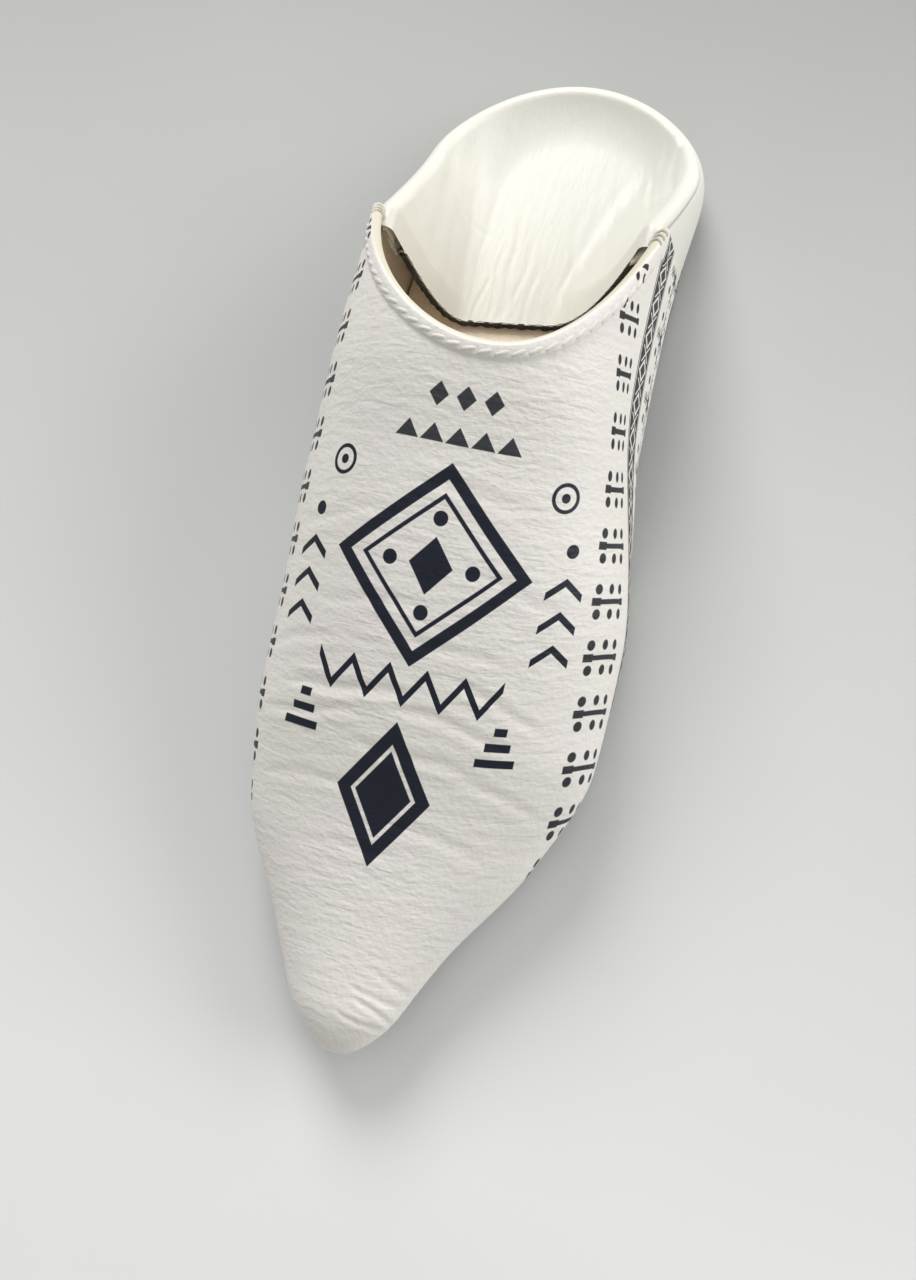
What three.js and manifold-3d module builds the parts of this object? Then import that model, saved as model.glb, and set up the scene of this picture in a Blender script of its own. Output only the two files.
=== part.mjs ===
import * as THREE from "three";
import { mergeVertices } from "three/addons/utils/BufferGeometryUtils.js";
import Module from "manifold-3d";

// A babouche slipper for the right foot, in millimetres.
// The toe points along -Y, the medial side is +X, and the ground is z = 0.

// Driving dimensions of the last
const LENGTH = 272; // sole, from the toe tip to the back of the heel
const BALL_WIDTH = 85; // sole, across the ball
const INSTEP_HEIGHT = 66; // ridge over the sole at the throat
const SIDE_HEIGHT = 17; // where the side stands out most
const SIDE_BULGE = 1.8; // how far it stands out over the sole there
const RIDGE_SHIFT = -1.5; // ridge, off the centre line to the lateral side
const TOE_ROUND = 12; // length over which the toe tip rounds off
const HEEL_ROUND = 35; // length over which the heel rounds off
const TOE_FULLNESS = 2; // section exponent at the toe, 2 is an ellipse
const THROAT_FULLNESS = 2.65; // section exponent at the throat, more is boxier

// Driving dimensions of the sole
const SOLE_THICKNESS = 4;
const SOLE_MARGIN = 0.6; // sole edge outside the foot of the upper
const TOE_SPRING = 8.5; // height of the toe over the ground
const SPRING_LENGTH = 92; // from the toe tip to where the sole touches down
const FOREFOOT_FLAT = 45; // length of the forefoot's contact
const HEEL_FLAT = 68; // length of the heel's contact
const WAIST_RISE = 1.5; // sole under the waist, over the ground
const INSOLE_THICKNESS = 2;
const INSOLE_CLEARANCE = 1; // insole edge to the inside of the upper
const INSOLE_SETBACK = 4; // insole tip behind the inside of the toe
const GAP = 0.3; // between pieces that lie on each other

// Driving dimensions of the upper
const WALL = 2; // leather and lining
const THROAT_FROM_TOE = 163; // lowest point of the throat
const LATERAL_EAR_FROM_TOE = 202; // lateral side seam and tip of the ear
const MEDIAL_EAR_FROM_TOE = 208; // the same on the medial side
const LATERAL_EAR_AROUND = 0.53; // the ear, from the ridge (0) to the sole (1)
const MEDIAL_EAR_AROUND = 0.5;
const LATERAL_THROAT_POWER = 1.6; // shape of the throat's curve on each side
const MEDIAL_THROAT_POWER = 1.85;
const BAND_WIDTH = 3.6; // turned band along the throat
const BAND_STEP = 0.6; // band over the rest of the front
const SEAM_STEP = 0.6; // back below the front at the side seam
const SEAM_LAP = 6; // how far the back runs on inside the front
const HEEL_RIM = 8.5; // folded rim over the sole at the back of the heel
const RIM_POWER = 1.7; // how fast the rim falls from the ears
const RIM_FLARE = 2.5; // rim outside the sole's line at the heel
const FOLD_RADIUS = 1.6; // middle of the leather, round the fold
const LATERAL_FLAP_EDGE_FROM_TOE = 194; // front edge of the flap on the footbed
const MEDIAL_FLAP_EDGE_FROM_TOE = 203;
const LATERAL_FLAP_DROP = 15; // width over which the flap comes down at the ear
const MEDIAL_FLAP_DROP = 24;
const FLAP_DROP_HEEL = 15; // the same at the heel
const FLAP_POWER = 2.1; // shape of the flap's drop
const FLAP_START = 1.5; // width of the flap at the ears
const LATERAL_FLAP_EDGE_POWER = 4; // how squarely the edge turns back to the ear
const MEDIAL_FLAP_EDGE_POWER = 6;

// The last, a row for each section. Its place is a share of LENGTH from the toe, the half widths
// are shares of BALL_WIDTH, and the ridge is a share of INSTEP_HEIGHT.
const SECTIONS = [
  { place: 0.0, lateral: 0.085, medial: 0.085, ridge: 0.13 },
  { place: 0.1, lateral: 0.25, medial: 0.22, ridge: 0.27 },
  { place: 0.2, lateral: 0.415, medial: 0.405, ridge: 0.42 },
  { place: 0.3, lateral: 0.465, medial: 0.51, ridge: 0.6 },
  { place: 0.4, lateral: 0.48, medial: 0.515, ridge: 0.75 },
  { place: 0.5, lateral: 0.5, medial: 0.465, ridge: 0.88 },
  { place: 0.6, lateral: 0.5, medial: 0.415, ridge: 1.0 },
  { place: 0.74, lateral: 0.495, medial: 0.4, ridge: 1.06 },
  { place: 0.87, lateral: 0.46, medial: 0.41, ridge: 1.0 },
  { place: 1.0, lateral: 0.43, medial: 0.44, ridge: 0.9 },
];

// The sole's edge from the top down: inset from its full outline in millimetres, and height as a
// share of the thickness.
const SOLE_EDGE = [
  { inset: 0.5, height: 1 },
  { inset: 0, height: 0.75 },
  { inset: 0.1, height: 0.4 },
  { inset: 0.7, height: 0.12 },
  { inset: 1.6, height: 0 },
];
const INSOLE_EDGE = [
  { inset: 0, height: 1 },
  { inset: 0, height: 0 },
];

// How finely the curves are cut
const SOLE_STEPS = 44;
const FRONT_ROWS = 22;
const FRONT_ROW_POWER = 1.7; // rows crowd towards the toe
const BAND_RAMP = 0.8; // length of the band's step
const SIDE_COLUMNS = 7;
const TOP_COLUMNS = 16;
const BACK_ROWS = 52;
const WALL_COLUMNS = 5;
const FOLD_COLUMNS = 5;
const FLAP_COLUMNS = 8;
const LOWER_SHARE = 0.22; // part of a section's run that is its side
const MERGE_DISTANCE = 1e-4;

const THROAT_PLACE = THROAT_FROM_TOE / LENGTH;
const FOOTBED = SOLE_THICKNESS + GAP + INSOLE_THICKNESS + GAP;

const wasm = await Module();
wasm.setup();

function clamp(value) {
  return Math.min(Math.max(value, 0), 1);
}

// Slope of a column between two rows of SECTIONS
function rise(column, row) {
  const step = SECTIONS[row + 1].place - SECTIONS[row].place;
  return (SECTIONS[row + 1][column] - SECTIONS[row][column]) / step;
}

// Slope at a row, flat where the column turns round, so that the curve has no waves
function slope(column, row) {
  if (row === 0) return rise(column, 0);
  if (row === SECTIONS.length - 1) return rise(column, row - 1);
  const before = rise(column, row - 1);
  const after = rise(column, row);
  return before * after > 0 ? (2 * before * after) / (before + after) : 0;
}

// A column of SECTIONS as a smooth curve along the length
function read(column, place) {
  let row = 0;
  while (row < SECTIONS.length - 2 && place > SECTIONS[row + 1].place) row += 1;
  const step = SECTIONS[row + 1].place - SECTIONS[row].place;
  const part = (place - SECTIONS[row].place) / step;
  const square = part * part;
  const cube = square * part;
  return (
    SECTIONS[row][column] * (2 * cube - 3 * square + 1) +
    slope(column, row) * step * (cube - 2 * square + part) +
    SECTIONS[row + 1][column] * (3 * square - 2 * cube) +
    slope(column, row + 1) * step * (cube - square)
  );
}

// Rounds a width or height off to nothing over a length at the toe
function toeRounding(place, length) {
  const left = 1 - clamp((place * LENGTH) / length);
  return Math.sqrt(1 - left * left);
}

function heelRounding(place, length) {
  return toeRounding(1 - place, length);
}

// Half width of the foot of the upper, on the side -1 (lateral) or 1 (medial)
function halfWidth(place, side) {
  const share = read(side < 0 ? "lateral" : "medial", place);
  return share * BALL_WIDTH * toeRounding(place, TOE_ROUND) * heelRounding(place, HEEL_ROUND);
}

// Height of the sole's underside: toe spring, forefoot on the ground, waist, heel on the ground
function lift(place) {
  const y = place * LENGTH;
  const spring = 1 - clamp(y / SPRING_LENGTH);
  const waistStart = SPRING_LENGTH + FOREFOOT_FLAT;
  const waist = clamp((y - waistStart) / (LENGTH - HEEL_FLAT - waistStart));
  return TOE_SPRING * spring * spring + WAIST_RISE * Math.sin(Math.PI * waist) ** 2;
}

// The ear's place along the length and round the section, on a side
function earPlace(side) {
  return (side < 0 ? LATERAL_EAR_FROM_TOE : MEDIAL_EAR_FROM_TOE) / LENGTH;
}

function earAround(side) {
  return side < 0 ? LATERAL_EAR_AROUND : MEDIAL_EAR_AROUND;
}

function along(place) {
  return (place - 0.5) * LENGTH;
}

// Height over the ground of the foot of the upper
function seat(place) {
  return lift(place) + SOLE_THICKNESS + GAP;
}

// A point of the upper's outside. around runs from -1 at the lateral foot over 0 at the ridge
// to 1 at the medial foot.
function lastPoint(place, around) {
  const side = around < 0 ? -1 : 1;
  const run = Math.abs(around);
  const nose = toeRounding(place, TOE_ROUND);
  const ridge = read("ridge", place) * INSTEP_HEIGHT * nose;
  const bulge = SIDE_BULGE * toeRounding(place, 3 * TOE_ROUND);
  const sideHeight = Math.min(SIDE_HEIGHT * toeRounding(place, 7 * TOE_ROUND), 0.45 * ridge);
  const foot = halfWidth(place, side);
  if (run > 1 - LOWER_SHARE) {
    const up = (1 - run) / LOWER_SHARE;
    const x = side * (foot + bulge * Math.sin((up * Math.PI) / 2));
    return new THREE.Vector3(x, along(place), seat(place) + sideHeight * up);
  }
  const angle = ((run / (1 - LOWER_SHARE)) * Math.PI) / 2;
  const fullness = THREE.MathUtils.lerp(TOE_FULLNESS, THROAT_FULLNESS, clamp(place / earPlace(-1)));
  const shift = RIDGE_SHIFT * nose;
  const x = shift + (side * (foot + bulge) - shift) * Math.sin(angle) ** (2 / fullness);
  const z = sideHeight + (ridge - sideHeight) * Math.cos(angle) ** (2 / fullness);
  return new THREE.Vector3(x, along(place), seat(place) + z);
}

// Where the front ends: the throat's curve up to the ears, and the side seam below them
function frontEnd(around) {
  const out = clamp(Math.abs(around) / earAround(around));
  const power = around < 0 ? LATERAL_THROAT_POWER : MEDIAL_THROAT_POWER;
  return THROAT_PLACE + (earPlace(around) - THROAT_PLACE) * out ** power;
}

// Normals of a grid of points, from its neighbours in both directions
function gridNormals(grid) {
  const last = grid.length - 1;
  const end = grid[0].length - 1;
  return grid.map((row, i) =>
    row.map((_, j) => {
      const alongRows = grid[Math.min(i + 1, last)][j].clone().sub(grid[Math.max(i - 1, 0)][j]);
      const alongRow = row[Math.min(j + 1, end)].clone().sub(row[Math.max(j - 1, 0)]);
      return alongRow.cross(alongRows).normalize();
    }),
  );
}

function level(normal) {
  return normal.clone().setZ(0).normalize();
}

function moved(grid, normals, distance) {
  return grid.map((row, i) =>
    row.map((point, j) => point.clone().addScaledVector(normals[i][j], distance(i, j))),
  );
}

// Triangles of a wall between two matching grids, closed along their edges
function wallTriangles(rows, columns) {
  const count = rows * columns;
  const triangles = [];
  const quad = (a, b, c, d) => triangles.push(a, b, c, a, c, d);
  const edge = (a, b) => quad(b, a, a + count, b + count);
  for (let i = 0; i < rows - 1; i += 1) {
    for (let j = 0; j < columns - 1; j += 1) {
      const a = i * columns + j;
      const corners = [a, a + 1, a + 1 + columns, a + columns];
      quad(...corners);
      quad(...corners.map((corner) => corner + count).reverse());
    }
    edge((i + 1) * columns, i * columns);
    edge(i * columns + columns - 1, (i + 1) * columns + columns - 1);
  }
  for (let j = 0; j < columns - 1; j += 1) {
    edge(j, j + 1);
    edge(count - columns + j + 1, count - columns + j);
  }
  return triangles;
}

// A closed geometry from points and triangles, with equal points merged
function closedGeometry(points, triangles) {
  const loose = new THREE.BufferGeometry().setFromPoints(points);
  loose.setIndex(triangles);
  const merged = mergeVertices(loose, MERGE_DISTANCE);
  const index = merged.getIndex().array;
  const kept = [];
  for (let i = 0; i < index.length; i += 3) {
    const [a, b, c] = index.slice(i, i + 3);
    if (a !== b && b !== c && c !== a) kept.push(a, b, c);
  }
  merged.setIndex(kept);
  return merged;
}

function asManifold(geometry) {
  return new wasm.Manifold(
    new wasm.Mesh({
      numProp: 3,
      vertProperties: geometry.getAttribute("position").array,
      triVerts: Uint32Array.from(geometry.getIndex().array),
    }),
  );
}

function asGeometry(manifold) {
  const mesh = manifold.getMesh();
  const geometry = new THREE.BufferGeometry();
  geometry.setAttribute("position", new THREE.BufferAttribute(mesh.vertProperties, 3));
  geometry.setIndex(new THREE.BufferAttribute(mesh.triVerts, 1));
  return geometry;
}

function wallSolid(outside, inside) {
  const points = [...outside.flat(), ...inside.flat()];
  return asManifold(closedGeometry(points, wallTriangles(outside.length, outside[0].length)));
}

// Length of the band along the foot. It grows where the throat's curve runs along the foot.
function bandLength(around) {
  const step = 0.01;
  const side = around < 0 ? -1 : 1;
  const run = Math.min(Math.abs(around), earAround(side) - step);
  const here = lastPoint(frontEnd(side * run), side * run);
  const beside = lastPoint(frontEnd(side * run), side * (run + step));
  const forward = (frontEnd(side * (run + step)) - frontEnd(side * run)) * LENGTH;
  return BAND_WIDTH * Math.hypot(1, forward / beside.distanceTo(here));
}

// The front of the upper, from the toe to the throat and the side seams
function frontSolid() {
  const columns = [];
  for (let j = 0; j < SIDE_COLUMNS; j += 1) {
    columns.push(THREE.MathUtils.lerp(-1, -LATERAL_EAR_AROUND, j / SIDE_COLUMNS));
  }
  for (let j = 0; j <= TOP_COLUMNS; j += 1) {
    columns.push(THREE.MathUtils.lerp(-LATERAL_EAR_AROUND, MEDIAL_EAR_AROUND, j / TOP_COLUMNS));
  }
  for (let j = 1; j <= SIDE_COLUMNS; j += 1) {
    columns.push(THREE.MathUtils.lerp(MEDIAL_EAR_AROUND, 1, j / SIDE_COLUMNS));
  }
  const bandStarts = columns.map((around) => bandLength(around));
  const grid = [];
  for (let i = 0; i <= FRONT_ROWS; i += 1) {
    const part = (i / FRONT_ROWS) ** FRONT_ROW_POWER;
    grid.push(
      columns.map((around, j) => {
        const end = frontEnd(around) - (bandStarts[j] + BAND_RAMP) / LENGTH;
        return lastPoint(end * part, around);
      }),
    );
  }
  for (const left of [1, 0.5, 0]) {
    grid.push(
      columns.map((around, j) => lastPoint(frontEnd(around) - (left * bandStarts[j]) / LENGTH, around)),
    );
  }
  const normals = gridNormals(grid);
  normals[0] = normals[0].map(() => new THREE.Vector3(0, -1, 0));
  const last = columns.length - 1;
  for (const row of normals) {
    row[0] = level(row[0]);
    row[last] = level(row[last]);
  }
  const inBand = (i, j) => i > FRONT_ROWS && j >= SIDE_COLUMNS && j <= last - SIDE_COLUMNS;
  const outside = moved(grid, normals, (i, j) => (inBand(i, j) ? BAND_STEP : 0));
  const inside = moved(grid, normals, () => -WALL);
  return wallSolid(outside, inside);
}

// The side's section at the seam: how far it stands out from the foot and up from it
function seamProfile(side, part) {
  const ear = earPlace(side);
  const point = lastPoint(ear, side * THREE.MathUtils.lerp(1, earAround(side), part));
  return { out: Math.abs(point.x) - halfWidth(ear, side), up: point.z - seat(ear) };
}

// The back's line round the heel, at turn 0 on the lateral side to 1 on the medial side
function backStation(turn) {
  const side = turn < 0.5 ? -1 : 1;
  const swing = (1 - Math.abs(2 * turn - 1)) * (Math.PI / 2);
  const start = earPlace(side) - SEAM_LAP / LENGTH;
  const place = THREE.MathUtils.lerp(start, 1, Math.sin(swing));
  const foot = new THREE.Vector3(side * halfWidth(place, side), along(place), seat(place));
  const fall = clamp((1 - place) / (1 - earPlace(side)));
  const medial = THREE.MathUtils.smoothstep(turn, 0, 1);
  const mix = (part, key) =>
    THREE.MathUtils.lerp(seamProfile(-1, part)[key], seamProfile(1, part)[key], medial);
  const height = HEEL_RIM + (mix(1, "up") - HEEL_RIM) * fall ** RIM_POWER;
  const out = mix(1, "out") * fall ** RIM_POWER + RIM_FLARE * (1 - fall);
  const earDrop = side < 0 ? LATERAL_FLAP_DROP : MEDIAL_FLAP_DROP;
  const drop = THREE.MathUtils.lerp(FLAP_DROP_HEEL, earDrop, fall);
  return { foot, fall, mix, height, out, drop };
}

// The leather's middle from the foot of the back up to its fold and round it
function backWall(station, outward) {
  const { foot, mix, height, out } = station;
  const top = height - FOLD_RADIUS - WALL / 2;
  const place = (distance, up) => foot.clone().addScaledVector(outward, distance).setZ(foot.z + up);
  const middle = (part) => {
    const lean = (out - mix(1, "out")) * part * part;
    return mix(part, "out") + lean - SEAM_STEP - WALL / 2;
  };
  const points = [];
  for (let j = 0; j <= WALL_COLUMNS; j += 1) {
    const part = j / WALL_COLUMNS;
    points.push(place(middle(part), (top * mix(part, "up")) / mix(1, "up")));
  }
  const bed = FOOTBED + WALL / 2 - SOLE_THICKNESS - GAP;
  const steep = Math.atan((FLAP_POWER * (top + FOLD_RADIUS - bed)) / station.drop);
  const turn = Math.PI / 2 + steep;
  for (let j = 1; j <= FOLD_COLUMNS; j += 1) {
    const angle = (turn * j) / FOLD_COLUMNS;
    const distance = middle(1) - FOLD_RADIUS * (1 - Math.cos(angle));
    points.push(place(distance, top + FOLD_RADIUS * Math.sin(angle)));
  }
  return points;
}

// Nearest point of the fold's inner line, in plan
function nearestOnFold(fold, x, y) {
  let best = { distance: Infinity };
  for (let i = 0; i < fold.length - 1; i += 1) {
    const a = fold[i].point;
    const b = fold[i + 1].point;
    const run = (b.x - a.x) ** 2 + (b.y - a.y) ** 2;
    const part = clamp(((x - a.x) * (b.x - a.x) + (y - a.y) * (b.y - a.y)) / run);
    const near = a.clone().lerp(b, part);
    const distance = Math.hypot(x - near.x, y - near.y);
    if (distance < best.distance) {
      best = { distance, z: near.z, drop: THREE.MathUtils.lerp(fold[i].drop, fold[i + 1].drop, part) };
    }
  }
  return best;
}

// The back of the upper: side walls and heel, the fold, and the flap that lies on the footbed
function backSolid() {
  const turns = Array.from({ length: BACK_ROWS + 1 }, (_, i) => i / BACK_ROWS);
  const stations = turns.map(backStation);
  const last = turns.length - 1;
  const walls = stations.map((station, i) => {
    const before = stations[Math.max(i - 1, 0)].foot;
    const after = stations[Math.min(i + 1, last)].foot;
    const outward = new THREE.Vector3(before.y - after.y, after.x - before.x, 0).normalize();
    return backWall(station, outward);
  });
  const fold = walls.map((wall, i) => ({ point: wall[wall.length - 1], drop: stations[i].drop }));
  const start = fold[0].point;
  const finish = fold[last].point;
  const grid = walls.map((wall, i) => {
    const across = turns[i];
    const x = THREE.MathUtils.lerp(start.x + FLAP_START, finish.x - FLAP_START, across);
    const earY = THREE.MathUtils.lerp(start.y, finish.y, across);
    const power = across < 0.5 ? LATERAL_FLAP_EDGE_POWER : MEDIAL_FLAP_EDGE_POWER;
    const back = Math.abs(2 * across - 1) ** power;
    const edge = THREE.MathUtils.lerp(LATERAL_FLAP_EDGE_FROM_TOE, MEDIAL_FLAP_EDGE_FROM_TOE, across);
    const y = THREE.MathUtils.lerp(along(edge / LENGTH), earY, back);
    const row = [...wall];
    for (let j = 1; j <= FLAP_COLUMNS; j += 1) {
      const part = j / FLAP_COLUMNS;
      const point = fold[i].point.clone().lerp(new THREE.Vector3(x, y, 0), part);
      const near = nearestOnFold(fold, point.x, point.y);
      const bed = lift(point.y / LENGTH + 0.5) + FOOTBED + WALL / 2;
      const left = 1 - clamp(near.distance / near.drop);
      row.push(point.setZ(bed + (near.z - bed) * left ** FLAP_POWER));
    }
    return row;
  });
  const normals = gridNormals(grid);
  for (const row of normals) row[0] = level(row[0]);
  const outside = moved(grid, normals, () => WALL / 2);
  const inside = moved(grid, normals, () => -WALL / 2);
  return wallSolid(outside, inside);
}

// A flat piece with the sole's outline, moved in by an inset and built up from rings at its edge
function solePiece({ thickness, raise, outset, toeSetback, edge }) {
  const count = 2 * SOLE_STEPS;
  const outline = Array.from({ length: count }, (_, i) => {
    const place = (1 - Math.cos((Math.PI * i) / SOLE_STEPS)) / 2;
    const side = i < SOLE_STEPS ? -1 : 1;
    return { place, point: new THREE.Vector2(side * halfWidth(place, side), along(place)) };
  });
  const rings = edge.map(({ inset, height }) =>
    outline.map(({ place, point }, i) => {
      const before = outline[(i + count - 1) % count].point;
      const after = outline[(i + 1) % count].point;
      const outward = new THREE.Vector2(before.y - after.y, after.x - before.x).normalize();
      const edgePoint = point.clone().addScaledVector(outward, outset - inset);
      const setback = toeSetback * (1 - clamp((place * LENGTH) / SPRING_LENGTH)) ** 2;
      const z = lift(place) + raise + thickness * height;
      return new THREE.Vector3(edgePoint.x, edgePoint.y + setback, z);
    }),
  );
  const triangles = [];
  const quad = (a, b, c, d) => triangles.push(a, b, c, a, c, d);
  for (let ring = 0; ring < rings.length - 1; ring += 1) {
    for (let i = 0; i < count; i += 1) {
      const a = ring * count + i;
      const b = ring * count + ((i + 1) % count);
      quad(a, b, b + count, a + count);
    }
  }
  const bottom = (rings.length - 1) * count;
  for (let i = 0; i < SOLE_STEPS; i += 1) {
    const lateral = [i, i + 1];
    const medial = [(count - i) % count, count - i - 1];
    quad(lateral[0], medial[0], medial[1], lateral[1]);
    quad(bottom + lateral[0], bottom + lateral[1], bottom + medial[1], bottom + medial[0]);
  }
  return closedGeometry(rings.flat(), triangles);
}

function piece(name, geometry, material) {
  geometry.computeVertexNormals();
  const mesh = new THREE.Mesh(geometry, new THREE.MeshStandardMaterial(material));
  mesh.name = name;
  return mesh;
}

const outsole = solePiece({
  thickness: SOLE_THICKNESS,
  raise: 0,
  outset: SOLE_MARGIN,
  toeSetback: 0,
  edge: SOLE_EDGE,
});
const insole = solePiece({
  thickness: INSOLE_THICKNESS,
  raise: SOLE_THICKNESS + GAP,
  outset: -(WALL + INSOLE_CLEARANCE),
  toeSetback: INSOLE_SETBACK,
  edge: INSOLE_EDGE,
});
const upper = asGeometry(frontSolid().add(backSolid()));

const slipper = new THREE.Group();
slipper.add(
  piece("outsole", outsole, { color: 0x18202c, roughness: 0.75, metalness: 0 }),
  piece("insole", insole, { color: 0xcdb496, roughness: 0.7, metalness: 0 }),
  piece("upper", upper, { color: 0xebe8e2, roughness: 0.5, metalness: 0 }),
);

// The origin is under the middle of the slipper's box
const middle = new THREE.Box3().setFromObject(slipper).getCenter(new THREE.Vector3());
slipper.position.set(-middle.x, -middle.y, 0);
slipper.updateMatrixWorld(true);

export default slipper;
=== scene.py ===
import math

import bpy
import numpy as np
from mathutils import Matrix, Vector


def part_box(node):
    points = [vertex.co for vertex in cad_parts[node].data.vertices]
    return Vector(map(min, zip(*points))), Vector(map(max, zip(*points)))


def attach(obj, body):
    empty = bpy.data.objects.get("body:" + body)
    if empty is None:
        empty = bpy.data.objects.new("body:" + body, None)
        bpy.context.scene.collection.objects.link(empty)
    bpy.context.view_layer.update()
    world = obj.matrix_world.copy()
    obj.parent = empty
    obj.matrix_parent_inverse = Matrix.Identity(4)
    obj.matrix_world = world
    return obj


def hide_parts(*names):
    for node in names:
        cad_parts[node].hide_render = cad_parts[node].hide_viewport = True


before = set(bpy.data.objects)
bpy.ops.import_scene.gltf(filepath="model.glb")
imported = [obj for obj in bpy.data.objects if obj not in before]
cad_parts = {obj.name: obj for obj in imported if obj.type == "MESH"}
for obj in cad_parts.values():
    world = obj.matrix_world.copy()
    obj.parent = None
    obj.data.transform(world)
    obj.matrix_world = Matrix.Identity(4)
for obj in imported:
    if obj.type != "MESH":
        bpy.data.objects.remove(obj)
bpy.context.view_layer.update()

# A babouche slipper for the right foot. Lengths are in millimetres up to the meshes, which are
# in metres. The toe points along -Y, the medial side is +X, and the ground is z = 0.
MM = 0.001

# Sizes of the last and the sole
LENGTH = 272
BALL_WIDTH = 85
INSTEP_HEIGHT = 66
SIDE_HEIGHT = 17
SIDE_BULGE = 1.8
RIDGE_SHIFT = -1.5
TOE_ROUND = 12
HEEL_ROUND = 35
BULGE_TOE_ROUND = 3 * TOE_ROUND
SIDE_TOE_ROUND = 7 * TOE_ROUND
SIDE_RIDGE_SHARE = 0.45
TOE_FULLNESS = 2
THROAT_FULLNESS = 2.65
LOWER_SHARE = 0.22
SOLE_THICKNESS = 4
SOLE_MARGIN = 0.6
TOE_SPRING = 8.5
SPRING_LENGTH = 92
FOREFOOT_FLAT = 45
HEEL_FLAT = 68
WAIST_RISE = 1.5
INSOLE_THICKNESS = 2
GAP = 0.3
FOOTBED = SOLE_THICKNESS + GAP + INSOLE_THICKNESS + GAP

# Sizes of the upper. A table with the keys -1 and 1 is for the lateral and the medial side.
WALL = 2
THROAT_PLACE = 163 / LENGTH
EAR_PLACE = {-1: 202 / LENGTH, 1: 208 / LENGTH}
EAR_AROUND = {-1: 0.53, 1: 0.5}
THROAT_POWER = {-1: 1.6, 1: 1.85}
BAND_WIDTH = 3.6
BAND_STEP = 0.6
BAND_RAMP = 0.8
SEAM_STEP = 0.6
SEAM_LAP = 6
HEEL_RIM = 8.5
RIM_POWER = 1.7
RIM_FLARE = 2.5
FOLD_RADIUS = 1.6
FLAP_EDGE = {-1: 194 / LENGTH, 1: 203 / LENGTH}
FLAP_DROP_EAR = {-1: 15, 1: 24}
FLAP_DROP_HEEL = 15
FLAP_POWER = 2.1
FLAP_START = 1.5
FLAP_EDGE_POWER = {-1: 4, 1: 6}

# The last's sections: place along the length, half widths over the ball width, ridge over the instep
PLACES = [0, 0.1, 0.2, 0.3, 0.4, 0.5, 0.6, 0.74, 0.87, 1]
LATERAL = [0.085, 0.25, 0.415, 0.465, 0.48, 0.5, 0.5, 0.495, 0.46, 0.43]
MEDIAL = [0.085, 0.22, 0.405, 0.51, 0.515, 0.465, 0.415, 0.4, 0.41, 0.44]
RIDGE = [0.13, 0.27, 0.42, 0.6, 0.75, 0.88, 1.0, 1.06, 1.0, 0.9]

# The print of the sides (-1 lateral, 1 medial), at runs from the toe. The bars' inner ends and the
# start of the bands below them are distances from the ridge round the section.
PRINT_RUNS = [0, 65, 90, 116, 129, 142, 155, 167, 179, 208, 272]
BARS_INNER = {
    -1: [36, 37.5, 39.8, 40.6, 40.2, 39.9, 39.3, 38.8, 38.2, 38, 38],
    1: [42, 41.1, 40.6, 39.3, 38.6, 37.7, 36.7, 34.3, 30.9, 26, 26],
}
BARS_LENGTH = {
    -1: [10.5, 10.5, 10.5, 10.5, 10.5, 10.5, 10, 9.5, 9, 9, 9],
    1: [13, 13, 13, 12.5, 12, 9.5, 7.2, 6.8, 8.4, 8.4, 8.4],
}
BANDS_START = {
    -1: [50, 50, 52.5, 53, 53, 52.5, 51.5, 50.5, 49.5, 48.5, 48.5],
    1: [58, 58, 58, 57.5, 56, 50.5, 46, 43.5, 42.8, 42.6, 42.6],
}
PRINT_START = {-1: 64, 1: 58.6}
PRINT_PITCH = {-1: 12.46, 1: 12.96}

# How far the leather has slid along the shoe at distances from the ridge, when its shear is 1
SLIDE_ARCS = [0, 10, 20, 30, 40, 50, 60, 70, 120]
SLIDES = [0, 1.25, 5, 11.25, 20, 30, 36.5, 38, 38]
SHEAR = {-1: 0.12, 1: 0.33}

# Creases of the front as (from the toe, from the ridge, length, width, depth, turn in degrees)
FRONT_CREASES = [
    (84, -14, 34, 2.6, 0.34, 4),
    (81, 12, 30, 2.4, 0.32, -5),
    (88, 22, 22, 2.4, 0.26, -12),
    (77, -24, 26, 2.6, 0.26, 8),
    (72, 4, 30, 2.8, 0.24, -2),
    (68, 28, 20, 2.6, 0.22, -10),
    (93, -30, 18, 2.4, 0.2, 10),
    (97, 8, 26, 2.6, 0.2, -4),
    (62, -20, 22, 2.6, 0.2, 6),
    (55, 14, 24, 2.8, 0.18, -6),
    (48, -8, 22, 2.6, 0.16, 3),
    (104, -12, 24, 2.6, 0.16, 5),
    (113, 20, 26, 2.8, 0.16, -7),
    (122, -26, 24, 2.8, 0.15, 9),
    (131, 6, 28, 3.0, 0.14, -3),
    (9, 7, 12, 1.3, 0.24, -14),
    (12, 10, 13, 1.4, 0.26, -18),
    (15.5, 9, 13, 1.4, 0.2, -16),
    (20, 12, 12, 1.6, 0.14, -18),
]
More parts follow.
